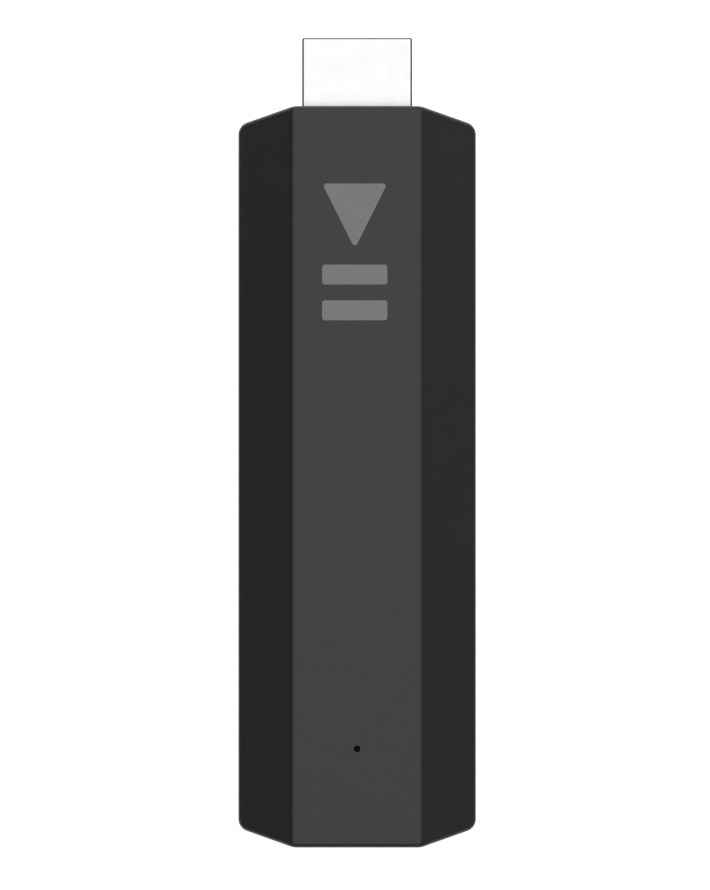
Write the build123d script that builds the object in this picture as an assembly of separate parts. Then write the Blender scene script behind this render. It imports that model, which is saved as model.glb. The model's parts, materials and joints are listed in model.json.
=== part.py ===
"""Streaming media player stick: a faceted two-shell case on an HDMI plug, with its electronics inside.

Millimetres. The stick lies on its back: +Z is out of the front face, +Y is towards the plug's tip,
+X is to the right with the plug pointing away. The origin is under the middle of the overall box.
"""
from build123d import *
import math
import os

# ---------------------------------------------------------------- driving dimensions
body_length = 93.25
body_width = 29.9
body_thickness = 14.0
facet_width = 16.4        # flat facet down the middle of the front, and of the back
end_width = 16.0          # square part of each end, seen from the front
facet_drop = 4.6          # how far each side facet falls from the flat one
end_setback = 2.4         # how far the ends slope back at the sides, seen from the front
corner_radius = 1.6       # outline corners, where the sloped ends meet the sides
vertex_radius = 2.5       # outline corners, where the sloped ends meet the square end
crease_radius = 1.3       # between the flat facet and the side facets
rim_radius = 0.5          # between the facets and the side and end walls
wall = 1.3

plug_width = 13.9         # HDMI Type A
plug_height = 4.45
plug_reach = 8.65         # how far the plug stands out of the case
plug_sheet = 0.3
plug_lead = 0.25          # radius its front edges are turned in by

board_thickness = 1.0
button_travel = 0.3

# ---------------------------------------------------------------- places worked out from them
half_width = body_width / 2
tip_y = (body_length + plug_reach) / 2
nose_y = tip_y - plug_reach
tail_y = nose_y - body_length
middle_y = (nose_y + tail_y) / 2
parting_z = body_thickness / 2
ceiling_z = body_thickness - wall
floor_z = wall
facet_angle = math.degrees(math.atan2(facet_drop, half_width - facet_width / 2))
board_top = parting_z + board_thickness / 2
board_bottom = parting_z - board_thickness / 2

# ---------------------------------------------------------------- how shapes are cut and joined
through = 1.0             # how far a cutting shape runs past what it cuts
bite = 0.1                # how far two joined shapes run into each other
rooting = 0.5             # how far ribs and bosses run into the wall that carries them

# ---------------------------------------------------------------- case details
parting_bevel = 0.12
skin = 0.6                # front cover's outer skin beside the lip
lip_gap = 0.05
lip_height = 0.9
snap_length = 5.0
snap_reach = 0.25
snap_spots = [(-1, -32), (-1, -8), (-1, 16), (1, -16), (1, 4), (1, 24)]   # side and y
window_gap = 0.12         # round the plug and the key
socket_window_gap = 0.3
rib_sheet = 1.2
cradle_y = nose_y - 4.2   # ribs that clamp the HDMI plug
cradle_margin = 2.5
rest_spots = [(side * 12.3, y) for side in (-1, 1) for y in (-20.0, 10.0)]
rest_radius = 0.7         # posts in the front cover that hold the board down
plate_rib_rows = [-14.0, 14.0]
plate_rib_width, plate_rib_height = 12.0, 3.4

screw_x, screw_nose_y, screw_tail_y = 10.4, 26.0, -43.0
screw_spots = [(side * screw_x, y) for side in (-1, 1) for y in (screw_nose_y, screw_tail_y)]
screw_radius = 0.7
screw_length = 4.0        # below the head
screw_head_radius, screw_head_height = 1.4, 0.75
thread_pitch = 0.45
boss_radius = 1.9
boss_floor = 1.6          # solid plastic under the screw's bore

light_y = tail_y + 12.4
light_radius = 0.48
light_recess = 0.8        # from the front face down to the light guide's nose
guide_flange_radius, guide_flange_height = 1.22, 0.83
guide_foot_radius = 0.8
guide_gap = 0.03

vent_rows = [-26.0, 31.0]
vent_count, vent_pitch, vent_length, vent_width = 5, 1.9, 10.0, 0.8
label_width, label_length, label_sheet = 13.0, 32.0, 0.1
label_corner = 1.0
label_inset = 0.05        # how far the label lies below the back face
label_y = 6.0

mark_x, mark_top_y = -0.3, nose_y - 9.75
mark_width, mark_play, mark_bar, mark_gap = 8.2, 8.2, 2.5, 2.0
mark_rounding = 0.35
ink_sheet = 0.03

# ---------------------------------------------------------------- reset key and its switch
button_y = -29.0
button_length, button_height = 7.0, 2.0
button_edge = 0.2
button_face_x = half_width - 0.1
flange_sheet = 0.6
flange_outer_x = half_width - wall - 0.05
flange_inner_x = flange_outer_x - flange_sheet
key_rib_width, key_rib_height = 1.6, 0.8
plunger_tip_x = flange_inner_x - 0.45
switch_face_x = plunger_tip_x - 0.8
switch_width, switch_length, switch_height = 2.6, 4.6, 1.6
plunger_width, plunger_height, plunger_depth = 2.0, 0.9, 0.75
plunger_z = board_top + switch_height / 2

# ---------------------------------------------------------------- connectors
board_nose_y = nose_y - 8.0
plug_back_y = board_nose_y + 0.3
plug_cut = 1.5            # the HDMI plug's slanted lower corners
plug_leg_length, plug_leg_height = 4.6, 1.1
plug_mouth_width, plug_mouth_height, plug_mouth_depth = 11.4, 2.1, 9.2
contact_width, contact_sheet = 0.3, 0.2
hdmi_rows = [(1, 10), (-1, 9)]                # side of the mouth, and how many contacts
hdmi_pitch = 1.0

usb_width, usb_height, usb_sheet = 7.5, 2.6, 0.3
usb_cut = 0.95
usb_depth = 5.2
usb_face_y = tail_y + 0.4
usb_back_y = usb_face_y + usb_depth
usb_pitch, usb_count = 0.65, 5
usb_contact_width, usb_contact_sheet = 0.4, 0.15
usb_tongue_width, usb_tongue_height = 3.6, 0.6
usb_tab_width, usb_tab_length = 1.4, 1.8

# ---------------------------------------------------------------- board layout: sizes, and middles as (x, y)
board_gap = 0.3           # between the board's edge and the case
shield_width, shield_length, shield_height, shield_sheet = 22.0, 32.0, 1.8, 0.2
shield_y = 7.0
soc_side, soc_height, soc_rim, soc_step = 13.0, 1.2, 1.0, 0.4
memory_size = (7.5, 11.5, 1.0)
memory_spots = [(-5.0, 14.4), (5.0, 14.4)]
flash_size = (11.5, 13.0, 1.0)
flash_spot = (3.2, -18.0)
controller_size = (5.0, 5.0, 0.85)
controller_spot = (-7.2, -13.6)
inductor_size = (3.0, 3.0, 1.4)
inductor_spots = [(-11.2, -12.2), (-11.2, -16.0), (-7.4, -18.6), (5.6, -29.6), (7.2, 27.4)]
crystal_size = (3.2, 2.5, 0.7)
crystal_spot = (10.9, -12.4)
capacitor_size = (0.5, 1.0, 0.5)
resistor_size = (0.5, 1.0, 0.35)
led_length, led_width, led_height = 1.6, 0.8, 0.6

pad_sheet = 0.5           # between the shield lid and the heat sink
lid_gap = 0.03            # between the shield lid and its frame, at the sides
lid_rest = 0.02           # and on top
sink_width, sink_length, sink_base = 18.6, 36.0, 0.8
fin_count, fin_pitch, fin_width, fin_top = 7, 2.4, 0.8, 1.6
plate_width, plate_length, plate_sheet = 17.0, 40.0, 0.8
rear_pad_side, rear_pad_sheet = 16.0, 1.5

wifi_x, wifi_y = -6.6, -32.6
wifi_width, wifi_length, wifi_height = 10.5, 12.5, 1.8
wifi_carrier = 0.6
wifi_edge_count, wifi_edge_pitch, wifi_edge_radius = 10, 1.1, 0.25
socket_x, socket_y = 3.4, -41.5
coax_radius = 0.4
coax_start_z = board_top + 1.0
antenna_x, antenna_y = 10.6, -37.0
antenna_length, antenna_width, antenna_sheet = 17.0, 4.6, 0.15
antenna_feed_x = 9.4


# ---------------------------------------------------------------- shared shapes
def block(width, length, height, x=0.0, y=0.0, z=0.0):
    """Box centred on x and y, standing on z."""
    return Pos(x, y, z) * Box(width, length, height, align=(Align.CENTER, Align.CENTER, Align.MIN))


def post(radius, bottom, top, x=0.0, y=0.0):
    """Upright cylinder from bottom to top."""
    return Pos(x, y, bottom) * Cylinder(radius, top - bottom, align=(Align.CENTER, Align.CENTER, Align.MIN))


def spaced(count, pitch):
    """count places pitch apart, either side of 0."""
    return [(index - (count - 1) / 2) * pitch for index in range(count)]


def both_sides(half):
    """Closed outline from its right half, listed from the top down."""
    return Polygon(*half, *[(-x, y) for x, y in reversed(half)], align=None)


def shrunk(face, inset):
    """Face with every edge moved in by inset, or out where inset is negative."""
    return offset(face, -inset, kind=Kind.INTERSECTION) if inset else face


def plan_face(inset=0.0):
    """The stick's outline seen from the front: a long bar with sloped shoulders at both ends."""
    end = body_length / 2
    shoulder = end - end_setback
    edge = end_width / 2
    right = [(edge, end), (half_width, shoulder), (half_width, -shoulder), (edge, -end)]
    return Pos(0, middle_y) * shrunk(both_sides(right), inset)


def section_face(inset=0.0):
    """The stick's cross-section about its middle: flat front and back, sloped facets, short side walls."""
    top = body_thickness / 2
    rim = top - facet_drop
    edge = facet_width / 2
    right = [(edge, top), (half_width, rim), (half_width, -rim), (edge, -top)]
    return shrunk(both_sides(right), inset)


def plan_slab(inset, bottom, top):
    """The outline, moved in by inset, as a plate from bottom to top."""
    return Pos(0, 0, bottom) * extrude(plan_face(inset), top - bottom, dir=(0, 0, 1))


def faceted_prism(plan, section):
    """What an outline and a cross-section have in common."""
    upright = extrude(plan, body_thickness, dir=(0, 0, 1))
    lengthwise = Pos(0, 0, parting_z) * extrude(Plane.XZ * section, body_length, both=True)
    return upright & lengthwise


def outer_solid():
    """The closed case as one solid, with its creases, corners and rim rounded."""
    plan = plan_face()
    corners = plan.vertices().sort_by(lambda v: abs(v.X))[4:]
    plan = fillet(corners, corner_radius)
    ends = plan.vertices().filter_by(lambda v: abs(v.X) < end_width / 2 + 0.01)
    plan = fillet(ends, vertex_radius)
    section = section_face()
    creases = section.vertices().sort_by(lambda v: abs(v.X))[:4]
    section = fillet(creases, crease_radius)
    solid = faceted_prism(plan, section)
    walls = solid.faces().filter_by(lambda f: abs(f.normal_at().Z) < 0.001)
    rims = {}
    for edge in walls.edges():
        middle = edge @ 0.5
        upright = abs(edge.tangent_at(0.5).Z) > 0.9
        if not upright:
            rims[tuple(round(value, 3) for value in middle)] = edge
    return fillet(list(rims.values()), rim_radius)


def inner_solid(inset=wall):
    """The space inside the case at a wall thickness of inset."""
    return faceted_prism(plan_face(inset), section_face(inset))


def rooted(shape):
    """Shape cut off inside the thickness of the case wall, so that it joins the wall and stays hidden."""
    return shape & inner_solid(wall * 0.6)


def facet_spot(x):
    """Height of the front side facet's inner surface at x."""
    inner_crease = facet_width / 2 - wall * math.tan(math.radians(facet_angle / 2))
    return ceiling_z - (abs(x) - inner_crease) * math.tan(math.radians(facet_angle))


def half_case(front):
    """One half of the closed case, bevelled where it meets the other half."""
    size = 2 * body_length
    bottom = parting_z if front else parting_z - size
    half = outer_solid() & block(size, size, size, z=bottom)
    seam = half.faces().sort_by(Axis.Z)[0 if front else -1]
    return chamfer(seam.edges(), parting_bevel)


def keyed_face(width, height, cut, radius, inset):
    """Connector outline about its middle: wide side up, the lower corners cut at 45 degrees."""
    half, up = width / 2, height / 2
    right = [(half, up), (half, cut - up), (half - cut, -up)]
    face = shrunk(both_sides(right), inset)
    return fillet(face.vertices(), max(radius - inset, 0.1))


def plug_face(inset=0.0):
    """HDMI Type A outline."""
    return keyed_face(plug_width, plug_height, plug_cut, 0.3, inset)


def usb_face(inset=0.0):
    """Micro-USB B outline."""
    return keyed_face(usb_width, usb_height, usb_cut, 0.4, inset)


def along_y(face, start, end):
    """Profile in x and height above the parting plane, carried along the stick from start to end."""
    return Pos(0, end, parting_z) * extrude(Plane.XZ * face, end - start, dir=(0, -1, 0))


def along_x(face, y, start, end):
    """Profile in length and height about (y, parting plane), carried across from start to end."""
    return Pos(start, y, parting_z) * extrude(Plane.YZ * face, end - start, dir=(1, 0, 0))


def button_face(grow=0.0):
    """Round-ended outline of the side button, in length and height."""
    return SlotOverall(button_length + 2 * grow, button_height + 2 * grow)


def snap_ridge(side, y, grow=0.0):
    """Triangular ridge along the lip's outer face, or with grow, the groove that takes it."""
    root = half_width - skin - lip_gap - 0.05
    middle = parting_z + lip_height * 0.55
    rise = snap_reach + grow
    outline = [(root, middle - rise - 0.05), (root + 0.05 + rise, middle), (root, middle + rise + 0.05)]
    outline = [(side * x, z) for x, z in outline]
    ridge = extrude(Plane.XZ * Polygon(*outline, align=None), snap_length / 2 + grow, both=True)
    return Pos(0, y, 0) * ridge


def case_openings():
    """What is cut through both covers: the plug's window, the power socket's window and the key's."""
    depth = 3 * wall
    plug = along_y(plug_face(-window_gap), nose_y - depth, nose_y + through)
    usb = along_y(usb_face(-socket_window_gap), tail_y - through, tail_y + depth)
    button = along_x(button_face(window_gap), button_y, half_width - depth, half_width + through)
    return [plug, usb, button]


def plug_cradle(front):
    """Rib across the case whose cut-out holds the HDMI plug."""
    low, high = (parting_z + 1.2, ceiling_z + rooting) if front else (floor_z - rooting, parting_z - 0.2)
    rib = block(plug_width + 2 * cradle_margin, rib_sheet, high - low, y=cradle_y, z=low)
    rib -= along_y(plug_face(-0.05), cradle_y - rib_sheet, cradle_y + rib_sheet)
    return rooted(rib)


# ---------------------------------------------------------------- case
def front_cover():
    cover = half_case(front=True) - inner_solid()
    cover -= plan_slab(skin, parting_z - through, parting_z + lip_height + bite)
    cover += plug_cradle(front=True)
    boss_bottom = 10.0
    boss_wall = 0.85
    flange_room = guide_flange_radius + guide_gap
    cover += post(flange_room + boss_wall, boss_bottom, ceiling_z + rooting - bite, y=light_y)
    for x, y in rest_spots:
        cover += rooted(post(rest_radius, board_top + lip_gap, ceiling_z, x, y))
    cover -= post(light_radius, board_top, body_thickness + through, y=light_y)
    cover -= post(flange_room, board_top, ceiling_z, y=light_y)
    for side, y in snap_spots:
        cover -= snap_ridge(side, y, grow=0.08)
    for opening in case_openings():
        cover -= opening
    return cover


def screw_boss(x, y):
    """Boss on the rear cover under one board screw."""
    return rooted(post(boss_radius, floor_z - rooting, board_bottom, x, y))


def vent_slots():
    """Two groups of slots through the back."""
    slot = extrude(SlotOverall(vent_length, vent_width), wall + 2 * through)
    places = [row_y + step for row_y in vent_rows for step in spaced(vent_count, vent_pitch)]
    return [Pos(0, y, -through) * slot for y in places]


def label_pocket():
    """Shallow rounded pocket in the back."""
    room = 0.1
    face = RectangleRounded(label_width + 2 * room, label_length + 2 * room, label_corner + room)
    return Pos(0, label_y, -through) * extrude(face, through + label_sheet + label_inset)


def rear_cover():
    cover = half_case(front=False) - inner_solid()
    lip_top = parting_z + lip_height
    lip = plan_slab(skin + lip_gap, parting_z - rooting, lip_top)
    cover += lip - plan_slab(wall, parting_z - through, lip_top + through)
    for side, y in snap_spots:
        cover += snap_ridge(side, y)
    for x, y in screw_spots:
        cover += screw_boss(x, y)
        cover -= post(screw_radius + 0.01, floor_z + boss_floor, board_top, x, y)
    for y in plate_rib_rows:
        cover += block(plate_rib_width, 1.0, plate_rib_height, y=y, z=floor_z - rooting)
    cover += plug_cradle(front=False)
    cover -= label_pocket()
    for slot in vent_slots():
        cover -= slot
    key_room = button_length + 2.4
    cover -= block(2 * wall, key_room, lip_height + through, half_width - skin - wall, button_y, parting_z)
    for opening in case_openings():
        cover -= opening
    return cover


def rear_label():
    label = extrude(RectangleRounded(label_width, label_length, label_corner), label_sheet)
    return Pos(0, label_y, label_inset) * label


def printed_mark():
    """Play and pause sign in ink, read from the plug towards the tail."""
    play = Polygon((-mark_width / 2, 0), (mark_width / 2, 0), (0, -mark_play), align=None)
    faces = [fillet(play.vertices(), mark_rounding)]
    for index in range(2):
        y = -mark_play - (index + 1) * mark_gap - (index + 0.5) * mark_bar
        faces.append(Pos(0, y) * RectangleRounded(mark_width, mark_bar, mark_rounding))
    place = Pos(mark_x, mark_top_y, body_thickness)
    return Compound([place * extrude(face, ink_sheet, dir=(0, 0, 1)).solid() for face in faces])


def light_pipe():
    """Smoked guide from the status light up into the front's hole, its nose dimpled to spread the light."""
    nose_top = body_thickness - light_recess
    flange_top = ceiling_z - 0.02
    flange_bottom = flange_top - guide_flange_height
    pipe = post(light_radius - guide_gap, flange_top - bite, nose_top, y=light_y)
    pipe += post(guide_flange_radius, flange_bottom, flange_top, y=light_y)
    pipe += post(guide_foot_radius, board_top + led_height + 0.15, flange_bottom + bite, y=light_y)
    dimple = light_radius - guide_gap - 0.04
    return pipe - Pos(0, light_y, nose_top - dimple / 2) * Cone(0, dimple, dimple)


# ---------------------------------------------------------------- reset button and its switch
def reset_button():
    """Side key: the round-ended face, the flange that keeps it in, and the rib that meets the switch."""
    key = along_x(button_face(), button_y, flange_inner_x + bite, button_face_x)
    key = fillet(key.faces().sort_by(Axis.X)[-1].edges(), button_edge)
    flange = RectangleRounded(button_length + 1.6, button_height + 1.2, 0.5)
    key += along_x(flange, button_y, flange_inner_x, flange_outer_x)
    rib_length = flange_inner_x + bite - plunger_tip_x
    rib_x = plunger_tip_x + rib_length / 2
    rib_z = plunger_z - key_rib_height / 2
    return key + block(rib_length, key_rib_width, key_rib_height, rib_x, button_y, rib_z)


def reset_switch_body():
    middle_x = switch_face_x - switch_width / 2
    body = block(switch_width, switch_length, switch_height, middle_x, button_y, board_top)
    foot_width, foot_reach, foot_sheet = 1.0, 0.5, 0.2
    for side in (-1, 1):
        foot_y = button_y + side * (switch_length / 2 + 0.2)
        body += block(foot_width, foot_reach, foot_sheet, switch_face_x - 1.4, foot_y, board_top)
    slot_depth, slot_height = 1.5, 1.0
    slot_z = plunger_z - slot_height / 2
    return body - block(2 * slot_depth, plunger_width + bite, slot_height, switch_face_x, button_y, slot_z)


def reset_switch_plunger():
    length = plunger_tip_x - switch_face_x + plunger_depth
    middle_x = plunger_tip_x - length / 2
    return block(length, plunger_width, plunger_height, middle_x, button_y, plunger_z - plunger_height / 2)


# ---------------------------------------------------------------- HDMI plug
def ribbon(path, sheet, width):
    """Bent strip: path is a list of (y, height above the parting plane) along its middle."""
    over = [(y, z + sheet / 2) for y, z in path]
    under = [(y, z - sheet / 2) for y, z in reversed(path)]
    strip = extrude(Plane.YZ * Polygon(*over, *under, align=None), width / 2, both=True)
    return Pos(0, 0, parting_z) * strip


def hdmi_contact_path(side):
    """From the sprung knee near the plug's tip back to the solder tail on the board."""
    seat = plug_mouth_height / 2 + 0.07
    tail_height = (board_thickness + contact_sheet) / 2
    bend_y = board_nose_y + 3.2
    path = [
        (tip_y - 1.2, seat),
        (tip_y - 2.4, seat - 0.2),
        (tip_y - 5.0, seat),
        (bend_y + 2.0, seat),
        (bend_y, tail_height),
        (board_nose_y - 1.6, tail_height),
    ]
    return [(y, side * z) for y, z in path]


def hdmi_contact_spots():
    """x of each contact, with the side of the mouth it is on."""
    return [(x, side) for side, count in hdmi_rows for x in spaced(count, hdmi_pitch)]


def hdmi_contacts():
    strips = {side: ribbon(hdmi_contact_path(side), contact_sheet, contact_width) for side, _ in hdmi_rows}
    return Compound([(Pos(x, 0, 0) * strips[side]).solid() for x, side in hdmi_contact_spots()])


def hdmi_insulator():
    """Plastic core with the mouth that takes the display's tongue, and a groove for each contact."""
    front_y = tip_y - 0.35
    mouth_back_y = tip_y - plug_mouth_depth
    body = along_y(plug_face(plug_sheet + 0.03), plug_back_y, front_y)
    mouth_length = 2 * (front_y - mouth_back_y)
    mouth_z = parting_z - plug_mouth_height / 2
    body -= block(plug_mouth_width, mouth_length, plug_mouth_height, y=front_y, z=mouth_z)
    groove_width, groove_height, groove_length = 0.4, 0.5, 8.4
    groove_y = mouth_back_y + groove_length / 2
    for x, side in hdmi_contact_spots():
        groove_z = parting_z + side * (plug_mouth_height / 2 + 0.1) - groove_height / 2
        body -= block(groove_width, groove_length, groove_height, x, groove_y, groove_z)
        hidden_path = hdmi_contact_path(side)[2:]
        body -= Pos(x, 0, 0) * ribbon(hidden_path, contact_sheet + 0.06, contact_width + 0.06)
    return body


def hdmi_plug_shell():
    """Folded sheet with its seam and two latch windows underneath, and a board leg at each side."""
    shell = along_y(plug_face(), plug_back_y, tip_y)
    shell = fillet(shell.faces().sort_by(Axis.Y)[-1].edges(), plug_lead)
    shell -= along_y(plug_face(plug_sheet), plug_back_y - through, tip_y + through)
    cut_z = parting_z - plug_height / 2 - rooting
    latch_width, latch_length = 2.0, 2.4
    for side in (-1, 1):
        shell -= block(latch_width, latch_length, 2 * rooting, side * 2.9, tip_y - 4.6, cut_z)
        leg_x = side * (plug_width - plug_sheet) / 2
        leg_y = plug_back_y + rooting - plug_leg_length / 2
        shell += block(plug_sheet, plug_leg_length, plug_leg_height, leg_x, leg_y, parting_z - 0.35)
    seam_width = 0.07
    return shell - block(seam_width, 2 * body_length, 2 * rooting, z=cut_z)


# ---------------------------------------------------------------- power socket
def usb_contact_path():
    """From the tongue's face back, up or down to the board, and out to the solder tail."""
    tongue_height = -0.03
    tail_height = (board_thickness + usb_contact_sheet) / 2
    return [
        (usb_face_y + 0.7, tongue_height),
        (usb_back_y - 1.4, tongue_height),
        (usb_back_y - 0.7, tail_height),
        (usb_back_y + 1.3, tail_height),
    ]


def usb_shell():
    shell = along_y(usb_face(), usb_face_y, usb_back_y)
    shell = fillet(shell.faces().sort_by(Axis.Y)[0].edges(), 0.12)
    shell -= along_y(usb_face(usb_sheet), usb_face_y - through, usb_back_y + through)
    for side in (-1, 1):
        tab_x = side * (usb_width / 2 - 0.2 + usb_tab_width / 2)
        shell += block(usb_tab_width, usb_tab_length, usb_sheet, tab_x, usb_back_y - 2.2, board_top)
    return shell


def usb_tongue():
    base_length = 1.3
    front_gap = 0.5
    tongue_length = usb_depth - base_length - front_gap + bite
    tongue_y = usb_face_y + front_gap + tongue_length / 2
    tongue = along_y(usb_face(usb_sheet + 0.03), usb_back_y - base_length, usb_back_y)
    tongue += block(usb_tongue_width, tongue_length, usb_tongue_height, y=tongue_y, z=parting_z + 0.045)
    groove = ribbon(usb_contact_path(), usb_contact_sheet + 0.04, usb_contact_width + 0.04)
    for x in spaced(usb_count, usb_pitch):
        tongue -= Pos(x, 0, 0) * groove
    return tongue


def usb_contacts():
    strip = ribbon(usb_contact_path(), usb_contact_sheet, usb_contact_width)
    return Compound([(Pos(x, 0, 0) * strip).solid() for x in spaced(usb_count, usb_pitch)])


# ---------------------------------------------------------------- board and what is soldered to it
def board_cutter(width, length, x, y):
    """Block that cuts right through the board."""
    return block(width, length, board_thickness + 2 * through, x, y, board_bottom - through)


def main_board():
    board = plan_slab(wall + board_gap, board_bottom, board_top)
    board -= board_cutter(2 * body_width, body_width, 0, board_nose_y + body_width / 2)
    usb_room = usb_depth + 0.15
    board -= board_cutter(usb_width + 0.3, 2 * usb_room, 0, usb_face_y)
    for side in (-1, 1):
        leg_x = side * (plug_width - plug_sheet) / 2
        board -= board_cutter(2 * plug_sheet, 2 * plug_leg_length, leg_x, board_nose_y)
    notch_x = flange_inner_x - button_travel - 0.7
    notch_width = 6.0
    board -= board_cutter(notch_width, button_length + 3.4, notch_x + notch_width / 2, button_y)
    for x, y in screw_spots:
        board -= post(screw_radius + 0.2, board_bottom - through, board_top + through, x, y)
    return board


def board_screw(x, y):
    """Pan-head screw with a cross recess and ring grooves for its thread."""
    head_bottom = board_top + 0.01
    top = board_top + screw_head_height
    tip_z = board_top - screw_length
    screw = post(screw_head_radius, head_bottom, top, x, y)
    screw = fillet(screw.edges().group_by(Axis.Z)[-1], 0.25)
    screw += post(screw_radius, tip_z, head_bottom + bite, x, y)
    groove_height, groove_depth = 0.12, 0.12
    for index in range(6):
        low = tip_z + 0.3 + index * thread_pitch
        ring = post(screw_radius + bite, low, low + groove_height, x, y)
        screw -= ring - post(screw_radius - groove_depth, low, low + groove_height, x, y)
    recess_length, recess_width, recess_depth = 1.5, 0.3, 0.4
    recess = block(recess_length, recess_width, through)
    for angle in (0, 90):
        screw -= Pos(x, y, top - recess_depth) * Rot(0, 0, angle) * recess
    return screw


def board_screws():
    return Compound([board_screw(x, y).solid() for x, y in screw_spots])


def system_on_chip():
    chip = block(soc_side, soc_side, soc_step, z=board_top)
    lid_side = soc_side - 2 * soc_rim
    return chip + block(lid_side, lid_side, soc_height - soc_step, z=board_top + soc_step)


def chip_package(size, spot):
    """Moulded package with a bevelled top and a pin-one dimple."""
    width, length, height = size
    x, y = spot
    top = board_top + height
    chip = block(width, length, height, x, y, board_top)
    chip = chamfer(chip.edges().group_by(Axis.Z)[-1], 0.12)
    dimple_radius, dimple_depth, dimple_inset = 0.3, 0.06, 0.9
    dimple_x = x - width / 2 + dimple_inset
    dimple_y = y + length / 2 - dimple_inset
    return chip - post(dimple_radius, top - dimple_depth, top + through, dimple_x, dimple_y)


def memory_chips():
    return Compound([chip_package(memory_size, spot).solid() for spot in memory_spots])


def flash_chip():
    return chip_package(flash_size, flash_spot)


def power_controller():
    return chip_package(controller_size, controller_spot)


def rounded_can(size, spot, radius):
    """Upright can with rounded corners, standing on the board."""
    can = block(*size, *spot, board_top)
    return fillet(can.edges().filter_by(Axis.Z), radius)


def power_inductors():
    return Compound([rounded_can(inductor_size, spot, 0.5).solid() for spot in inductor_spots])


def crystal():
    return rounded_can(crystal_size, crystal_spot, 0.4)


def row(first, step, count):
    """Places in a straight row on the board, from the first on by equal steps in x and y."""
    return [(first[0] + step[0] * index, first[1] + step[1] * index) for index in range(count)]


def capacitor_spots():
    """(x, y, bottom) of each ceramic capacitor: rows beside the chips, and a grid under the processor."""
    above = row((-3.6, 28.6), (1.8, 0), 5)
    above += row((-3.6, -10.6), (1.8, 0), 6)
    above += row((11.0, -16.0), (0, -1.8), 4)
    above += row((3.0, -37.0), (1.6, 0), 4)
    below = row((-10.0, 12.5), (2.5, 0), 9) + row((-10.0, 14.5), (2.5, 0), 9)
    spots = [(x, y, board_top) for x, y in above]
    return spots + [(x, y, board_bottom - capacitor_size[2]) for x, y in below]


def ceramic_capacitors():
    return Compound([block(*capacitor_size, x, y, bottom).solid() for x, y, bottom in capacitor_spots()])


def chip_resistors():
    spots = row((-4.5, 31.4), (1.0, 0), 10)
    spots += row((-10.4, -20.6), (1.0, 0), 2)
    spots += row((5.4, -33.4), (1.0, 0), 2)
    return Compound([block(*resistor_size, x, y, board_top).solid() for x, y in spots])


def status_led():
    led = block(led_length, led_width, led_height / 2, y=light_y, z=board_top)
    return led + block(1.0, led_width, led_height, y=light_y, z=board_top)


# ---------------------------------------------------------------- shielding and cooling
lid_bottom = board_top + shield_height + lid_rest
heat_base_z = lid_bottom + shield_sheet + pad_sheet


def sheet_ring(width, length, sheet, bottom, top):
    """Four upright walls of sheet metal round the processor."""
    outer = block(width, length, top - bottom, y=shield_y, z=bottom)
    inner_height = top - bottom + 2 * through
    return outer - block(width - 2 * sheet, length - 2 * sheet, inner_height, y=shield_y, z=bottom - through)


def shield_frame():
    return sheet_ring(shield_width, shield_length, shield_sheet, board_top, board_top + shield_height)


def shield_lid():
    width = shield_width + 2 * (lid_gap + shield_sheet)
    length = shield_length + 2 * (lid_gap + shield_sheet)
    lid = block(width, length, shield_sheet, y=shield_y, z=lid_bottom)
    lid = fillet(lid.edges().group_by(Axis.Z)[-1], 0.15)
    skirt_height = 1.25
    lid += sheet_ring(width, length, shield_sheet, lid_bottom - skirt_height, lid_bottom + lid_gap)
    vent_radius, vent_pitch_x, vent_pitch_y = 0.6, 8.0, 7.0
    for x in spaced(3, vent_pitch_x):
        for step in spaced(4, vent_pitch_y):
            lid -= post(vent_radius, lid_bottom - through, lid_bottom + through, x, shield_y + step)
    return lid


def chip_thermal_pad():
    side = soc_side - 2 * soc_rim
    return block(side, side, lid_bottom - board_top - soc_height, z=board_top + soc_height)


def heat_sink_pad():
    width, length = 17.0, 28.0
    return block(width, length, pad_sheet, y=shield_y, z=heat_base_z - pad_sheet)


def heat_sink():
    sink = block(sink_width, sink_length, sink_base, y=shield_y, z=heat_base_z)
    for x in spaced(fin_count, fin_pitch):
        sink += block(fin_width, sink_length, fin_top, x, shield_y, heat_base_z)
    return sink


def rear_thermal_pad():
    return block(rear_pad_side, rear_pad_side, rear_pad_sheet, z=board_bottom - rear_pad_sheet)


def rear_heat_plate():
    plate = block(plate_width, plate_length, plate_sheet, z=board_bottom - rear_pad_sheet - plate_sheet)
    return fillet(plate.edges().filter_by(Axis.Z), 1.5)


# ---------------------------------------------------------------- radio
def wifi_module():
    """Small carrier board with castellated edges, under its own metal can."""
    carrier = block(wifi_width, wifi_length, wifi_carrier, wifi_x, wifi_y, board_top)
    for side in (-1, 1):
        edge_x = wifi_x + side * wifi_width / 2
        for step in spaced(wifi_edge_count, wifi_edge_pitch):
            edge_y = wifi_y + step
            carrier -= post(wifi_edge_radius, board_top - through, board_top + through, edge_x, edge_y)
    can_size = (wifi_width - 1.6, wifi_length - 1.2, wifi_height)
    can = rounded_can(can_size, (wifi_x, wifi_y), 0.5)
    can = fillet(can.edges().group_by(Axis.Z)[-1], 0.2)
    return carrier + can


def antenna_socket(side):
    """Snap-on coaxial socket: a square foot under a round collar."""
    x = side * socket_x
    foot_side, foot_height = 2.6, 0.35
    collar_radius, collar_height, bore_radius, bore_floor = 1.0, 1.1, 0.75, 0.5
    socket = block(foot_side, foot_side, foot_height, x, socket_y, board_top)
    socket += post(collar_radius, board_top, board_top + collar_height, x, socket_y)
    return socket - post(bore_radius, board_top + bore_floor, board_top + 2 * collar_height, x, socket_y)


def antenna_sockets():
    return Compound([antenna_socket(side).solid() for side in (-1, 1)])


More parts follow.
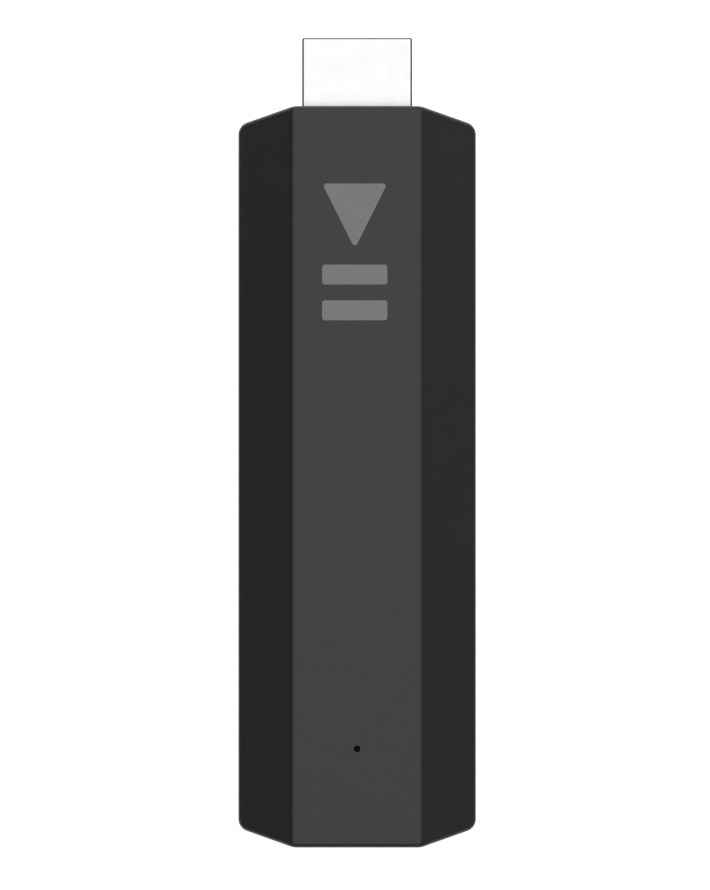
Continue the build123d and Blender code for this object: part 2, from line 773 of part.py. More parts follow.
def antenna_plug(side):
    """Cap that snaps over its socket, with a crimped barrel pointing away from the middle."""
    x = side * socket_x
    base = board_top + 0.4
    cap_radius, cap_height, cap_bore, cap_roof = 1.3, 1.0, 1.03, 0.25
    barrel_radius, barrel_length = 0.6, 1.6
    barrel = Pos(x + side * barrel_length, socket_y, coax_start_z) * Rot(0, 90, 0)
    plug = post(cap_radius, base, base + cap_height, x, socket_y)
    plug += barrel * Cylinder(barrel_radius, barrel_length)
    plug -= post(cap_bore, base - through, base + cap_height - cap_roof, x, socket_y)
    bore_shift, bore_length = 0.55, 1.8
    return plug - Pos(side * bore_shift, 0, 0) * barrel * Cylinder(coax_radius + 0.01, bore_length)


def antenna_plugs():
    return Compound([antenna_plug(side).solid() for side in (-1, 1)])


def antenna(side):
    """Flexible strip stuck to the inside of one front side facet."""
    slope = math.radians(facet_angle)
    inward = (-side * math.sin(slope), 0, -math.cos(slope))
    start = Vector(side * antenna_x, antenna_y, facet_spot(antenna_x)) + Vector(inward) * 0.02
    plane = Plane(origin=start, x_dir=(0, 1, 0), z_dir=inward)
    return extrude(plane * RectangleRounded(antenna_length, antenna_width, 0.5), antenna_sheet)


def antenna_cable(side):
    """Thin coaxial cable from its plug up to the antenna, straight runs joined by arcs."""
    clearance = (coax_radius + antenna_sheet + 0.06) / math.cos(math.radians(facet_angle))
    under_film = facet_spot(antenna_feed_x) - clearance
    route = [
        (socket_x + 1.3, socket_y, coax_start_z),
        (socket_x + 3.2, socket_y, coax_start_z),
        (antenna_feed_x, socket_y + 2.6, coax_start_z + 1.5),
        (antenna_feed_x, socket_y + 6.0, under_film),
        (antenna_feed_x, socket_y + 9.2, under_film),
    ]
    points = [Vector(side * x, y, z) for x, y, z in route]
    radii = []
    for before, corner, after in zip(points, points[1:], points[2:]):
        turn = (corner - before).get_angle(after - corner)
        shorter = min((corner - before).length, (after - corner).length)
        radii.append(0.45 * shorter / math.tan(math.radians(turn / 2)))
    path = FilletPolyline(*points, radius=radii)
    start = Plane(origin=path @ 0, z_dir=path % 0)
    return sweep(start * Circle(coax_radius), path)


# ---------------------------------------------------------------- files
NODES = {
    "front_cover": front_cover,
    "rear_cover": rear_cover,
    "rear_label": rear_label,
    "printed_mark": printed_mark,
    "light_pipe": light_pipe,
    "reset_button": reset_button,
    "reset_switch_body": reset_switch_body,
    "reset_switch_plunger": reset_switch_plunger,
    "hdmi_plug_shell": hdmi_plug_shell,
    "hdmi_insulator": hdmi_insulator,
    "hdmi_contacts": hdmi_contacts,
    "usb_shell": usb_shell,
    "usb_tongue": usb_tongue,
    "usb_contacts": usb_contacts,
    "main_board": main_board,
    "board_screws": board_screws,
    "system_on_chip": system_on_chip,
    "memory_chips": memory_chips,
    "flash_chip": flash_chip,
    "power_controller": power_controller,
    "power_inductors": power_inductors,
    "crystal": crystal,
    "ceramic_capacitors": ceramic_capacitors,
    "chip_resistors": chip_resistors,
    "status_led": status_led,
    "shield_frame": shield_frame,
    "shield_lid": shield_lid,
    "chip_thermal_pad": chip_thermal_pad,
    "heat_sink_pad": heat_sink_pad,
    "heat_sink": heat_sink,
    "rear_thermal_pad": rear_thermal_pad,
    "rear_heat_plate": rear_heat_plate,
    "wifi_module": wifi_module,
    "antenna_sockets": antenna_sockets,
    "antenna_plugs": antenna_plugs,
    "antenna_left": lambda: antenna(-1),
    "antenna_right": lambda: antenna(1),
    "antenna_cable_left": lambda: antenna_cable(-1),
    "antenna_cable_right": lambda: antenna_cable(1),
}

os.makedirs("parts", exist_ok=True)
for node, build in NODES.items():
    export_step(build(), f"parts/{node}.step")
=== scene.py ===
"""The looks of a streaming media player stick: materials, soldered detail, stage, light, camera. Metres."""
import bmesh
import bpy
import json
import math
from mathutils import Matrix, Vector


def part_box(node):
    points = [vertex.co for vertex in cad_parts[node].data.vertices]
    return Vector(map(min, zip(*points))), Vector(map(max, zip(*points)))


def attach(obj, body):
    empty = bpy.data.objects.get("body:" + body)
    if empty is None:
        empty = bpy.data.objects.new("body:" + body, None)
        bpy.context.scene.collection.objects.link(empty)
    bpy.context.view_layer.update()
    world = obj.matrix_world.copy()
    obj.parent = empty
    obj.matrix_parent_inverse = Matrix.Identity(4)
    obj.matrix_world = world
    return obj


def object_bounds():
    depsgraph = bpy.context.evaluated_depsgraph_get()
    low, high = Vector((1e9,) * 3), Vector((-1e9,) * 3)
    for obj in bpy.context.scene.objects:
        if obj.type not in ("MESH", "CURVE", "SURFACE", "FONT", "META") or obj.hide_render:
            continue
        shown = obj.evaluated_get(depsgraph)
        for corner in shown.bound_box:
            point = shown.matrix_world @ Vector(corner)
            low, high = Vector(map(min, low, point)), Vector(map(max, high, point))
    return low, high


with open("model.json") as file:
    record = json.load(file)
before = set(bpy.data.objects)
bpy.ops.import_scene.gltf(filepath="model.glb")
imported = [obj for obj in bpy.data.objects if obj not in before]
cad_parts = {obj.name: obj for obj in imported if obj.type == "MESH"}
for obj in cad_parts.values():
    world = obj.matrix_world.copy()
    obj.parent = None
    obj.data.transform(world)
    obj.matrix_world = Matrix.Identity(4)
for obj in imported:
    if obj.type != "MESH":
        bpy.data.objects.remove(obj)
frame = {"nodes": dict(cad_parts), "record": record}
cad_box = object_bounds()
nodes = frame["nodes"]

MM = 0.001
low, high = cad_box
middle = (low + high) / 2


# ---------------------------------------------------------------- building node materials
class Paint:
    """A node material built around one Principled BSDF, with short calls for the usual nodes."""

    def __init__(self, name, color, rough, metal=0.0, **more):
        self.material = bpy.data.materials.new(name)
        self.material.use_nodes = True
        self.tree = self.material.node_tree
        self.bsdf = self.tree.nodes["Principled BSDF"]
        self.bsdf.inputs["Base Color"].default_value = (*color, 1)
        self.bsdf.inputs["Roughness"].default_value = rough
        self.bsdf.inputs["Metallic"].default_value = metal
        for socket, value in more.items():
            self.bsdf.inputs[socket.replace("_", " ")].default_value = value
        coordinates = self.node("ShaderNodeTexCoord")
        self.place = coordinates.outputs["Object"]
        self.facing = coordinates.outputs["Normal"]

    def node(self, kind, **values):
        """New shader node of a kind, with its properties set."""
        made = self.tree.nodes.new(kind)
        for name, value in values.items():
            setattr(made, name, value)
        return made

    def link(self, out, into):
        self.tree.links.new(out, into)

    def scaled(self, stretch):
        """The object coordinates, stretched along each axis."""
        mapping = self.node("ShaderNodeMapping")
        mapping.inputs["Scale"].default_value = stretch
        self.link(self.place, mapping.inputs["Vector"])
        return mapping.outputs["Vector"]

    def noise(self, size, detail=3.0, rough=0.5, stretch=(1, 1, 1)):
        """Cloudy noise from 0 to 1 with features about size metres across."""
        made = self.node("ShaderNodeTexNoise")
        made.inputs["Scale"].default_value = 1 / size
        made.inputs["Detail"].default_value = detail
        made.inputs["Roughness"].default_value = rough
        self.link(self.scaled(stretch), made.inputs["Vector"])
        return made.outputs["Fac"]

    def cells(self, size, feature="F1"):
        """Distance to the nearest of scattered points about size metres apart."""
        made = self.node("ShaderNodeTexVoronoi", feature=feature)
        made.inputs["Scale"].default_value = 1 / size
        self.link(self.place, made.inputs["Vector"])
        return made.outputs["Distance"]

    def span(self, value, from_low, from_high, to_low, to_high):
        """value carried from one range to another, and held there."""
        made = self.node("ShaderNodeMapRange")
        made.inputs["From Min"].default_value = from_low
        made.inputs["From Max"].default_value = from_high
        made.inputs["To Min"].default_value = to_low
        made.inputs["To Max"].default_value = to_high
        self.link(value, made.inputs["Value"])
        return made.outputs["Result"]

    def math(self, operation, first, second=0.0):
        """first and second, numbers or outputs, under a Math node's operation; some use only first."""
        made = self.node("ShaderNodeMath", operation=operation)
        for socket, value in zip(made.inputs, (first, second)):
            if isinstance(value, (int, float)):
                socket.default_value = value
            else:
                self.link(value, socket)
        return made.outputs[0]

    def toward(self, axis):
        """How squarely the surface faces along an axis of its own: from -1 to 1."""
        split = self.node("ShaderNodeSeparateXYZ")
        self.link(self.facing, split.inputs[0])
        return split.outputs[axis]

    def edges(self, radius):
        """0 on flats, rising to 1 on edges tighter than about radius metres."""
        bevel = self.node("ShaderNodeBevel", samples=6)
        bevel.inputs["Radius"].default_value = radius
        geometry = self.node("ShaderNodeNewGeometry")
        dot = self.node("ShaderNodeVectorMath", operation="DOT_PRODUCT")
        self.link(bevel.outputs["Normal"], dot.inputs[0])
        self.link(geometry.outputs["Normal"], dot.inputs[1])
        return self.span(dot.outputs["Value"], 1.0, 0.9, 0.0, 1.0)

    def tint(self, factor, first, second):
        """Color that goes from first to second as factor goes from 0 to 1; either may be another output."""
        made = self.node("ShaderNodeMix", data_type="RGBA")
        self.link(factor, made.inputs[0])
        for socket, color in zip((made.inputs[6], made.inputs[7]), (first, second)):
            if isinstance(color, tuple):
                socket.default_value = (*color, 1)
            else:
                self.link(color, socket)
        return made.outputs[2]

    def base(self, out):
        self.link(out, self.bsdf.inputs["Base Color"])

    def roughness(self, out):
        self.link(out, self.bsdf.inputs["Roughness"])

    def bump(self, height, depth):
        """Relief of the given height field, depth metres from its 0 to its 1."""
        made = self.node("ShaderNodeBump")
        made.inputs["Distance"].default_value = depth
        made.inputs["Strength"].default_value = 1.0
        self.link(height, made.inputs["Height"])
        self.link(made.outputs["Normal"], self.bsdf.inputs["Normal"])


def shade(color, factor):
    """A lighter or darker color."""
    return tuple(min(1.0, channel * factor) for channel in color)


# ---------------------------------------------------------------- materials
def spark_plastic(name, color, rough):
    """Moulded plastic with the fine pitted grain of a spark-eroded tool, polished a little on its edges."""
    paint = Paint(name, color, rough, Specular_IOR_Level=0.655)
    grain = paint.cells(0.11 * MM)
    fine = paint.noise(0.05 * MM, detail=4)
    cloud = paint.noise(9 * MM, detail=2)
    worn = paint.edges(0.35 * MM)
    mottled = paint.tint(paint.span(cloud, 0.35, 0.65, 0, 1), shade(color, 0.94), shade(color, 1.06))
    paint.base(paint.tint(paint.math("MULTIPLY", worn, 0.25), mottled, shade(color, 1.8)))
    varied = paint.span(fine, 0.3, 0.7, rough - 0.04, rough + 0.04)
    paint.roughness(paint.math("SUBTRACT", varied, paint.math("MULTIPLY", worn, 0.08)))
    paint.bump(paint.math("ADD", grain, paint.math("MULTIPLY", fine, 0.5)), 0.0035 * MM)
    return paint.material


def glass_filled_plastic(name, color, rough):
    """Connector plastic: glossier, with short pale fibres just under the skin."""
    paint = Paint(name, color, rough)
    fibre = paint.noise(0.3 * MM, detail=2, stretch=(1, 6, 1))
    paint.base(paint.tint(paint.span(fibre, 0.55, 0.75, 0, 1), color, shade(color, 2.2)))
    paint.roughness(paint.span(paint.noise(0.4 * MM), 0.3, 0.7, rough - 0.08, rough + 0.1))
    paint.bump(fibre, 0.004 * MM)
    return paint.material


def plated_sheet(name, color, rough, grain=0.5, tarnish=0.03, uneven=0.25, sides=None, painted_fold_shade=None):
    """Plated sheet metal with faint rolling lines, handling marks and brighter rubbed edges.

    The last two arguments, when given, are colors of painted shade, chosen by which way the surface faces:
    the first for its sides and slanted lower corners, the second for its upper folds and front edge.
    """
    paint = Paint(name, color, rough, metal=1.0)
    lines = paint.noise(0.12 * MM, detail=3, stretch=(1, 0.06, 1))
    spots = paint.noise(2.2 * MM, detail=5, rough=0.62)
    worn = paint.edges(0.12 * MM)
    dulled = paint.tint(paint.span(spots, 0.45, 0.75, 0, 1), color, shade(color, 1 - tarnish))
    surface = paint.tint(paint.math("MULTIPLY", worn, 0.5), dulled, shade(color, 1.06))
    upward = paint.toward("Z")
    # painted shade: sides and slanted lower corners darkened by which way they face
    if sides:
        sideways = paint.span(paint.math("ABSOLUTE", paint.toward("X")), 0.5, 0.6, 0, 1)
        below_fold = paint.span(upward, 0.14, 0.28, 1, 0)
        surface = paint.tint(paint.math("MULTIPLY", sideways, below_fold), surface, sides)
    # painted shade: upper folds and front edge darkened by which way they face
    if painted_fold_shade:
        leaving_face = paint.span(upward, 0.94, 0.985, 1, 0)
        before_side = paint.span(upward, 0.18, 0.33, 0, 1)
        surface = paint.tint(paint.math("MULTIPLY", leaving_face, before_side), surface, painted_fold_shade)
    paint.base(surface)
    fine = paint.math("MULTIPLY", lines, grain)
    broad = paint.math("MULTIPLY", spots, 1 - grain)
    combined = paint.math("ADD", fine, broad)
    paint.roughness(paint.span(combined, 0.3, 0.7, rough * (1 - uneven), rough * (1 + uneven)))
    paint.bump(lines, 0.0006 * MM)
    return paint.material


def gold_flash(name):
    """Gold over copper alloy, worn towards the nickel beneath on the edges that rub."""
    color = (0.83, 0.56, 0.20)
    paint = Paint(name, color, 0.24, metal=1.0)
    worn = paint.edges(0.05 * MM)
    spots = paint.noise(0.25 * MM, detail=4)
    mottled = paint.tint(paint.span(spots, 0.35, 0.7, 0, 1), color, shade(color, 0.86))
    paint.base(paint.tint(paint.math("MULTIPLY", worn, 0.35), mottled, (0.72, 0.66, 0.55)))
    paint.roughness(paint.span(spots, 0.3, 0.7, 0.18, 0.34))
    paint.bump(paint.noise(0.06 * MM, stretch=(1, 0.1, 1)), 0.0005 * MM)
    return paint.material


def soft_solder(name):
    """Reflowed tin solder: bright, with the faint crystal frosting of a lead-free joint."""
    color = (0.72, 0.72, 0.71)
    paint = Paint(name, color, 0.22, metal=1.0)
    frost = paint.cells(0.07 * MM)
    paint.base(paint.tint(paint.span(frost, 0.1, 0.6, 0, 1), color, shade(color, 0.8)))
    paint.roughness(paint.span(frost, 0.1, 0.7, 0.16, 0.36))
    paint.bump(frost, 0.004 * MM)
    return paint.material


def pad_ink(name, color):
    """Pad-printed ink: thin, slightly uneven, following the grain beneath."""
    paint = Paint(name, color, 0.5)
    specks = paint.noise(0.09 * MM, detail=3)
    cover = paint.noise(1.4 * MM, detail=3)
    even = paint.tint(paint.span(cover, 0.35, 0.65, 0, 1), shade(color, 0.97), shade(color, 1.03))
    paint.base(paint.tint(paint.span(specks, 0.66, 0.8, 0, 0.5), even, shade(color, 0.6)))
    paint.roughness(paint.span(specks, 0.3, 0.7, 0.44, 0.56))
    paint.bump(paint.cells(0.11 * MM), 0.0025 * MM)
    return paint.material


def label_film(name):
    """Blank satin film, a little lighter than the case, with a fine print grain."""
    color = (0.040, 0.041, 0.043)
    paint = Paint(name, color, 0.38)
    grain = paint.noise(0.07 * MM, detail=2)
    cloud = paint.noise(6 * MM)
    paint.base(paint.tint(paint.span(cloud, 0.3, 0.7, 0, 1), shade(color, 0.92), shade(color, 1.1)))
    paint.roughness(paint.span(grain, 0.3, 0.7, 0.33, 0.43))
    paint.bump(grain, 0.001 * MM)
    return paint.material


def smoked_moulding(name):
    """Dark clear plastic, with faint flow lines."""
    paint = Paint(name, (0.03, 0.03, 0.033), 0.12, Transmission_Weight=0.85, IOR=1.49)
    flow = paint.noise(0.5 * MM, detail=2, stretch=(1, 1, 0.3))
    paint.base(paint.tint(flow, (0.022, 0.022, 0.024), (0.045, 0.045, 0.048)))
    paint.roughness(paint.span(flow, 0.3, 0.7, 0.08, 0.18))
    paint.bump(flow, 0.002 * MM)
    return paint.material


def solder_mask(name):
    """Circuit board: green mask over copper tracks, ground plane and vias, laminate on its cut edges."""
    mask = (0.012, 0.085, 0.034)
    copper = (0.030, 0.170, 0.062)
    laminate = (0.30, 0.26, 0.13)
    paint = Paint(name, mask, 0.3, Coat_Weight=0.35, Coat_Roughness=0.1)
    brick = paint.node("ShaderNodeTexBrick", offset=0.37, squash=1.6, squash_frequency=3)
    brick.inputs["Scale"].default_value = 1 / MM
    brick.inputs["Mortar Size"].default_value = 0.11
    brick.inputs["Mortar Smooth"].default_value = 0.1
    brick.inputs["Brick Width"].default_value = 3.1
    brick.inputs["Row Height"].default_value = 0.55
    paint.link(paint.place, brick.inputs["Vector"])
    tracks = brick.outputs["Fac"]
    plane = paint.span(paint.noise(7 * MM, detail=0), 0.47, 0.5, 0, 1)
    vias = paint.span(paint.cells(1.9 * MM), 0.10, 0.13, 1, 0)
    raised = paint.math("MAXIMUM", paint.math("MULTIPLY", tracks, paint.math("SUBTRACT", 1.0, plane)), plane)
    face = paint.tint(raised, mask, copper)
    face = paint.tint(vias, face, shade(copper, 1.8))
    cut = paint.math("LESS_THAN", paint.math("ABSOLUTE", paint.toward("Z")), 0.5)
    weave = paint.noise(0.2 * MM, detail=2, stretch=(1, 1, 8))
    edge = paint.tint(weave, shade(laminate, 0.7), laminate)
    paint.base(paint.tint(cut, face, edge))
    paint.roughness(paint.span(paint.math("ADD", cut, paint.noise(3 * MM)), 0.3, 1.6, 0.24, 0.75))
    paint.bump(paint.math("SUBTRACT", raised, vias), 0.015 * MM)
    return paint.material


def chip_moulding(name):
    """Moulding compound with a fine matt grain and faint filler specks."""
    color = (0.022, 0.022, 0.024)
    paint = Paint(name, color, 0.55)
    specks = paint.cells(0.13 * MM)
    cloud = paint.noise(3 * MM)
    body = paint.tint(cloud, shade(color, 0.85), shade(color, 1.2))
    paint.base(paint.tint(paint.span(specks, 0.0, 0.2, 0.35, 0), body, shade(color, 2.4)))
    paint.roughness(paint.span(paint.noise(0.1 * MM), 0.3, 0.7, 0.48, 0.64))
    paint.bump(paint.noise(0.08 * MM, detail=4), 0.005 * MM)
    return paint.material


def pressed_ferrite(name):
    """Pressed metal powder: dark grey with glinting grains."""
    paint = Paint(name, (0.07, 0.07, 0.075), 0.55, metal=0.4)
    grains = paint.cells(0.12 * MM)
    paint.base(paint.tint(paint.span(grains, 0.0, 0.4, 0, 1), (0.13, 0.13, 0.135), (0.05, 0.05, 0.053)))
    paint.roughness(paint.span(grains, 0.0, 0.6, 0.4, 0.68))
    paint.bump(grains, 0.012 * MM)
    return paint.material


def fired_ceramic(name):
    """Tan capacitor body with a fine fired grain."""
    color = (0.36, 0.22, 0.12)
    paint = Paint(name, color, 0.42)
    grain = paint.noise(0.08 * MM, detail=3)
    paint.base(paint.tint(grain, shade(color, 0.85), shade(color, 1.15)))
    paint.roughness(paint.span(grain, 0.3, 0.7, 0.34, 0.5))
    paint.bump(grain, 0.004 * MM)
    return paint.material


def led_resin(name):
    """White reflector package with a faint yellow phosphor bloom."""
    paint = Paint(name, (0.80, 0.79, 0.72), 0.35, Subsurface_Weight=0.1)
    paint.bsdf.inputs["Subsurface Radius"].default_value = (0.3 * MM, 0.3 * MM, 0.2 * MM)
    bloom = paint.noise(0.5 * MM)
    paint.base(paint.tint(bloom, (0.82, 0.81, 0.76), (0.80, 0.72, 0.42)))
    paint.roughness(paint.span(bloom, 0.3, 0.7, 0.28, 0.42))
    paint.bump(paint.noise(0.1 * MM), 0.002 * MM)
    return paint.material


def gap_pad(name):
    """Soft silicone pad, matt, with the print of its liner and a few trapped bubbles."""
    color = (0.28, 0.36, 0.50)
    paint = Paint(name, color, 0.6, Sheen_Weight=0.15)
    liner = paint.node("ShaderNodeTexWave", wave_type="BANDS", bands_direction="DIAGONAL")
    liner.inputs["Scale"].default_value = 320
    liner.inputs["Distortion"].default_value = 0.6
    paint.link(paint.place, liner.inputs["Vector"])
    pits = paint.span(paint.cells(1.1 * MM), 0.05, 0.12, 1, 0)
    cloudy = paint.tint(paint.noise(2 * MM), shade(color, 0.9), shade(color, 1.1))
    paint.base(paint.tint(pits, cloudy, shade(color, 0.6)))
    paint.roughness(paint.span(liner.outputs["Fac"], 0, 1, 0.54, 0.68))
    paint.bump(paint.math("SUBTRACT", paint.math("MULTIPLY", liner.outputs["Fac"], 0.4), pits), 0.02 * MM)
    return paint.material


def brushed_aluminium(name):
    """Extruded aluminium, brushed along y, lightly oxidised."""
    color = (0.78, 0.78, 0.79)
    paint = Paint(name, color, 0.32, metal=1.0)
    brushing = paint.noise(0.05 * MM, detail=3, stretch=(1, 0.02, 1))
    oxide = paint.noise(4 * MM, detail=5)
    worn = paint.edges(0.15 * MM)
    oxidised = paint.tint(oxide, shade(color, 0.86), color)
    paint.base(paint.tint(paint.math("MULTIPLY", worn, 0.6), oxidised, (0.9, 0.9, 0.9)))
    paint.roughness(paint.span(paint.math("ADD", brushing, oxide), 0.7, 1.3, 0.24, 0.42))
    paint.bump(brushing, 0.002 * MM)
    return paint.material


def flex_film(name):
    """Black polyimide film over an etched copper pattern that shows as low relief."""
    paint = Paint(name, (0.015, 0.013, 0.012), 0.28, Coat_Weight=0.5, Coat_Roughness=0.12)
    wave = paint.node("ShaderNodeTexWave", wave_type="BANDS", bands_direction="Y", wave_profile="SAW")
    wave.inputs["Scale"].default_value = 120
    paint.link(paint.place, wave.inputs["Vector"])
    pattern = paint.span(wave.outputs["Fac"], 0.45, 0.55, 0, 1)
    paint.base(paint.tint(pattern, (0.013, 0.012, 0.011), (0.060, 0.034, 0.020)))
    paint.roughness(paint.span(paint.noise(0.6 * MM), 0.3, 0.7, 0.22, 0.36))
    paint.bump(pattern, 0.012 * MM)
    return paint.material


def cable_jacket(name):
    """Fluoropolymer jacket: smooth, slightly waxy, with the braid telegraphing through."""
    paint = Paint(name, (0.020, 0.020, 0.022), 0.34)
    braid = paint.cells(0.16 * MM, feature="SMOOTH_F1")
    paint.base(paint.tint(braid, (0.028, 0.028, 0.030), (0.016, 0.016, 0.017)))
    paint.roughness(paint.span(paint.noise(0.3 * MM), 0.3, 0.7, 0.28, 0.42))
    paint.bump(braid, 0.01 * MM)
    return paint.material


CASE_BLACK = (0.0096, 0.0096, 0.0098)
KEY_BLACK = (0.0092, 0.0092, 0.0094)
MARK_GREY = (0.302, 0.302, 0.302)
CONNECTOR_BLACK = (0.012, 0.012, 0.013)
NICKEL = (0.691, 0.686, 0.678)
TIN = (0.66, 0.655, 0.64)
BRIGHT_TIN = (0.70, 0.695, 0.68)
ZINC = (0.46, 0.46, 0.47)


def make_materials():
    """One material for each slot of the record, and one for the solder that scene pieces add."""
    return {
        "case": spark_plastic("case_plastic", CASE_BLACK, rough=0.44),
        "button": spark_plastic("button_plastic", KEY_BLACK, rough=0.40),
        "label": label_film("label_film"),
        "ink": pad_ink("mark_ink", MARK_GREY),
        "clear_plastic": smoked_moulding("light_pipe_plastic"),
        "black_plastic": glass_filled_plastic("connector_plastic", CONNECTOR_BLACK, rough=0.32),
        # the plug's nickel takes painted shade on its sides, lower corners, upper folds and front edge
        "plug_metal": plated_sheet("plug_nickel", NICKEL, rough=0.26, uneven=0.12,
                                   sides=shade(NICKEL, 0.56), painted_fold_shade=shade(NICKEL, 0.25)),
        "socket_metal": plated_sheet("socket_tin", TIN, rough=0.26, grain=0.35, tarnish=0.2),
        "gold": gold_flash("contact_gold"),
        "board": solder_mask("circuit_board"),
        "screw_steel": plated_sheet("screw_zinc", ZINC, rough=0.30, grain=0.2, tarnish=0.25),
        "chip": chip_moulding("chip_compound"),
        "ferrite": pressed_ferrite("inductor_ferrite"),
        "capacitor": fired_ceramic("capacitor_ceramic"),
        "can_metal": plated_sheet("shield_tin", BRIGHT_TIN, rough=0.30, grain=0.6, tarnish=0.15),
        "led": led_resin("led_resin"),
        "pad": gap_pad("thermal_pad"),
        "sink": brushed_aluminium("sink_aluminium"),
        "antenna": flex_film("antenna_film"),
        "cable": cable_jacket("cable_jacket"),
        "solder": soft_solder("reflowed_solder"),
    }


def dress_nodes(materials):
    """Every carried-over node takes the material of its slot."""
    for entry in frame["record"]["subparts"]:
        mesh = nodes[entry["node"]].data
        mesh.materials.clear()
        mesh.materials.append(materials[entry["material_slot"]])


# ---------------------------------------------------------------- soldered detail on the board
CAP_LENGTH = 0.24 * MM      # tinned cap at each end of a chip part
CAP_PROUD = 0.012 * MM      # how far it stands out of the part's body
CAP_ROUNDING = 0.04 * MM
FILLET_REACH = 0.22 * MM    # how far the solder runs out over the board
FILLET_RISE = 0.6           # how far it climbs the part's end, as a share of the part's height
FILLET_STEPS = 5
SAME_POINT = 0.001 * MM     # vertices closer than this are one


def solids_in(node):
    """Lowest and highest corner of each separate solid of a CAD node."""
    shape = bmesh.new()
    shape.from_mesh(nodes[node].data)
    bmesh.ops.remove_doubles(shape, verts=shape.verts, dist=SAME_POINT)
    shape.verts.index_update()
    seen = set()
    boxes = []
    for first in shape.verts:
        if first.index in seen:
            continue
        seen.add(first.index)
        group = [first]
        for vert in group:
            for edge in vert.link_edges:
                other = edge.other_vert(vert)
                if other.index not in seen:
                    seen.add(other.index)
                    group.append(other)
        corners = [[pick(vert.co[axis] for vert in group) for axis in range(3)] for pick in (min, max)]
        boxes.append(tuple(Vector(corner) for corner in corners))
    shape.free()
    return boxes


def add_rounded_box(shape, box_low, box_high, radius):
    """Box between two corners, with rounded edges, added to a mesh being built."""
    made = bmesh.ops.create_cube(shape, size=1.0)["verts"]
    size = box_high - box_low
    centre = (box_high + box_low) / 2
    for vert in made:
        vert.co = Vector(centre[axis] + vert.co[axis] * size[axis] for axis in range(3))
    edges = list(dict.fromkeys(edge for vert in made for edge in vert.link_edges))
    bmesh.ops.bevel(shape, geom=edges, offset=radius, segments=2, affect="EDGES", profile=0.5)


def add_fillet(shape, left, right, end_y, board_z, outward, upward, rise):
    """Concave ramp of solder from the board up a chip part's end, added to a mesh being built.

    outward is the end's direction along y, and upward the direction out of the board, each 1 or -1.
    """
    profile = [(0.0, 0.0)]
    for step in range(FILLET_STEPS + 1):
        angle = math.pi / 2 * step / FILLET_STEPS
        profile.append((FILLET_REACH * (1 - math.sin(angle)), rise * (1 - math.cos(angle))))
    sides = []
    for x in (left, right):
        corners = [(x, end_y + outward * out, board_z + upward * up) for out, up in profile]
        sides.append([shape.verts.new(corner) for corner in corners])
    count = len(profile)
    for index in range(count):
        after = (index + 1) % count
        shape.faces.new((sides[0][index], sides[0][after], sides[1][after], sides[1][index]))
    shape.faces.new(sides[0])
    shape.faces.new(reversed(sides[1]))


def add_piece(shape, name, material):
    """Mesh object from what has been built, facing outwards and riding on the stick."""
    bmesh.ops.recalc_face_normals(shape, faces=shape.faces)
    mesh = bpy.data.meshes.new(name)
    shape.to_mesh(mesh)
    shape.free()
    mesh.materials.append(material)
    piece = bpy.data.objects.new(name, mesh)
    bpy.context.scene.collection.objects.link(piece)
    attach(piece, "stick")


def chip_part_ends(node, name, materials):
    """Tinned caps and solder fillets at both ends of every chip part in a node."""
    caps = bmesh.new()
    joints = bmesh.new()
    board_low, board_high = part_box("main_board")
    board_middle_z = (board_low[2] + board_high[2]) / 2
    grow = Vector((CAP_PROUD, CAP_PROUD, CAP_PROUD))
    for part_low, part_high in solids_in(node):
        on_top = part_low.z > board_middle_z
        board_z, upward = (board_high[2], 1) if on_top else (board_low[2], -1)
        rise = FILLET_RISE * (part_high.z - part_low.z)
        for end_y, outward in ((part_low.y, -1), (part_high.y, 1)):
            cap_low, cap_high = part_low - grow, part_high + grow
            if outward < 0:
                cap_high.y = end_y + CAP_LENGTH
            else:
                cap_low.y = end_y - CAP_LENGTH
            if on_top:
                cap_low.z = board_z
            else:
                cap_high.z = board_z
            add_rounded_box(caps, cap_low, cap_high, CAP_ROUNDING)
            add_fillet(joints, part_low.x, part_high.x, end_y, board_z, outward, upward, rise)
    add_piece(caps, name + "_end_caps", materials["can_metal"])
    add_piece(joints, name + "_solder", materials["solder"])


# ---------------------------------------------------------------- stage, light and camera
FLOOR_REACH = 12.0          # from its middle to each side
FLOOR_GAP = 0.02 * MM       # between the floor and the stick's back
FLOOR_GLOW = 0.85           # strength of the floor's own light, up to GLOW_RISE_Y
PLUG_GLOW = 1.4             # and from GLOW_TOP_Y on, past the plug
GLOW_RISE_Y = 35 * MM
GLOW_TOP_Y = 70 * MM
DIM_ROOM = 0.006            # what the stick reflects between the lights
PALE_WALL = 1.0             # what the camera sees behind the floor
CORNER_PLACE = 0.62         # how far out the corner cards stand, along x and along y
CORNER_HEIGHT = 0.26

LENS = 1200.0               # the camera's focal length and sensor width, both in millimetres
SENSOR = 36.0
SEEN = 111.9 * MM           # how much of the front face's plane fits along the picture's long side
ASIDE = -0.27 * MM          # where the camera stands from the middle of the stick, along x
TOWARDS_TAIL = -0.33 * MM   # and along y


def floor():
    """Plain pale floor, like a lit table: brightest past the plug, nowhere dim enough to show a shadow."""
    corners = [(x * FLOOR_REACH, y * FLOOR_REACH, 0) for x, y in ((-1, -1), (1, -1), (1, 1), (-1, 1))]
    mesh = bpy.data.meshes.new("floor")
    mesh.from_pydata(corners, [], [(0, 1, 2, 3)])
    table = bpy.data.objects.new("floor", mesh)
    table.location.z = low.z - FLOOR_GAP
    bpy.context.scene.collection.objects.link(table)
    paint = Paint("floor_paint", (0.9, 0.9, 0.9), 0.9, Specular_IOR_Level=0.0)
    paint.bsdf.inputs["Emission Color"].default_value = (1, 1, 1, 1)
    split = paint.node("ShaderNodeSeparateXYZ")
    paint.link(paint.place, split.inputs[0])
    glow = paint.span(split.outputs["Y"], GLOW_RISE_Y, GLOW_TOP_Y, FLOOR_GLOW, PLUG_GLOW)
    paint.link(glow, paint.bsdf.inputs["Emission Strength"])
    mesh.materials.append(paint.material)


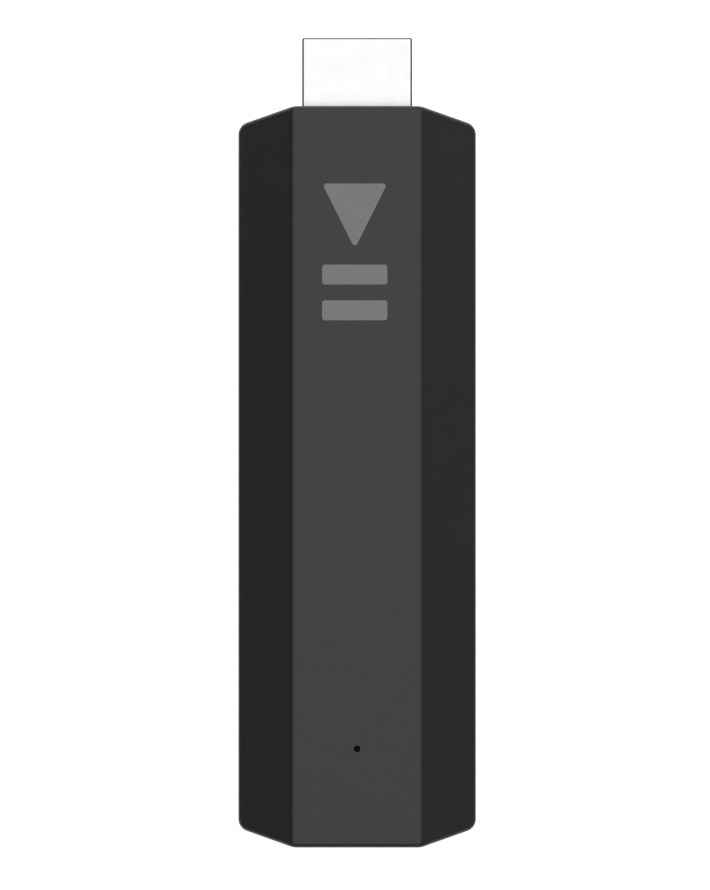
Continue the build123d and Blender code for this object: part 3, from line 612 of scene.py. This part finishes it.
def softbox(name, place, width, height, radiance):
    """Rectangular area light aimed at the stick, its face of the given radiance whatever its size."""
    light = bpy.data.lights.new(name, "AREA")
    light.shape = "RECTANGLE"
    light.size = width
    light.size_y = height
    light.energy = radiance * math.pi * width * height
    lamp = bpy.data.objects.new(name, light)
    lamp.location = place
    lamp.rotation_mode = "QUATERNION"
    lamp.rotation_quaternion = (middle - Vector(place)).to_track_quat("-Z", "Y")
    lamp.visible_camera = False
    bpy.context.scene.collection.objects.link(lamp)


def room():
    """Dim room for the stick to reflect, with pale walls behind it."""
    world = bpy.data.worlds.new("room")
    bpy.context.scene.world = world
    world.use_nodes = True
    tree = world.node_tree
    dim = tree.nodes["Background"]
    dim.inputs["Color"].default_value = (1, 1, 1, 1)
    dim.inputs["Strength"].default_value = DIM_ROOM
    pale = tree.nodes.new("ShaderNodeBackground")
    pale.inputs["Color"].default_value = (1, 1, 1, 1)
    pale.inputs["Strength"].default_value = PALE_WALL
    ray = tree.nodes.new("ShaderNodeLightPath")
    choose = tree.nodes.new("ShaderNodeMixShader")
    tree.links.new(ray.outputs["Is Camera Ray"], choose.inputs[0])
    tree.links.new(dim.outputs[0], choose.inputs[1])
    tree.links.new(pale.outputs[0], choose.inputs[2])
    tree.links.new(choose.outputs[0], tree.nodes["World Output"].inputs["Surface"])


def studio():
    """One large overhead box, a box to the right, walls and low strips past both ends, corner cards."""
    softbox("overhead_box", place=(0, 0.04, 0.70), width=0.62, height=0.62, radiance=1.54)
    softbox("right_box", place=(0.80, 0.12, 0.50), width=0.40, height=0.40, radiance=0.50)
    softbox("far_wall", place=(0, 0.80, 0.56), width=1.40, height=0.90, radiance=0.80)
    softbox("far_strip", place=(0, 0.90, 0.12), width=1.40, height=0.24, radiance=1.10)
    softbox("near_wall", place=(0, -0.85, 0.50), width=1.10, height=0.70, radiance=0.30)
    softbox("near_strip", place=(0, -0.90, 0.12), width=1.40, height=0.24, radiance=0.35)
    for x in (-CORNER_PLACE, CORNER_PLACE):
        for y in (-CORNER_PLACE, CORNER_PLACE):
            softbox("corner_card", place=(x, y, CORNER_HEIGHT), width=0.70, height=0.45, radiance=0.21)


def camera():
    """Long lens straight above, its long side along the stick."""
    distance = SEEN * LENS / SENSOR
    data = bpy.data.cameras.new("camera")
    data.lens = LENS
    data.sensor_width = SENSOR
    data.clip_start = 0.05
    data.clip_end = 60
    holder = bpy.data.objects.new("camera", data)
    holder.location = (middle.x + ASIDE, middle.y + TOWARDS_TAIL, high.z + distance)
    bpy.context.scene.collection.objects.link(holder)
    bpy.context.scene.camera = holder
    bpy.context.scene.view_settings.view_transform = "Standard"


materials = make_materials()
dress_nodes(materials)
chip_part_ends("ceramic_capacitors", "capacitor", materials)
chip_part_ends("chip_resistors", "resistor", materials)
floor()
studio()
room()
camera()
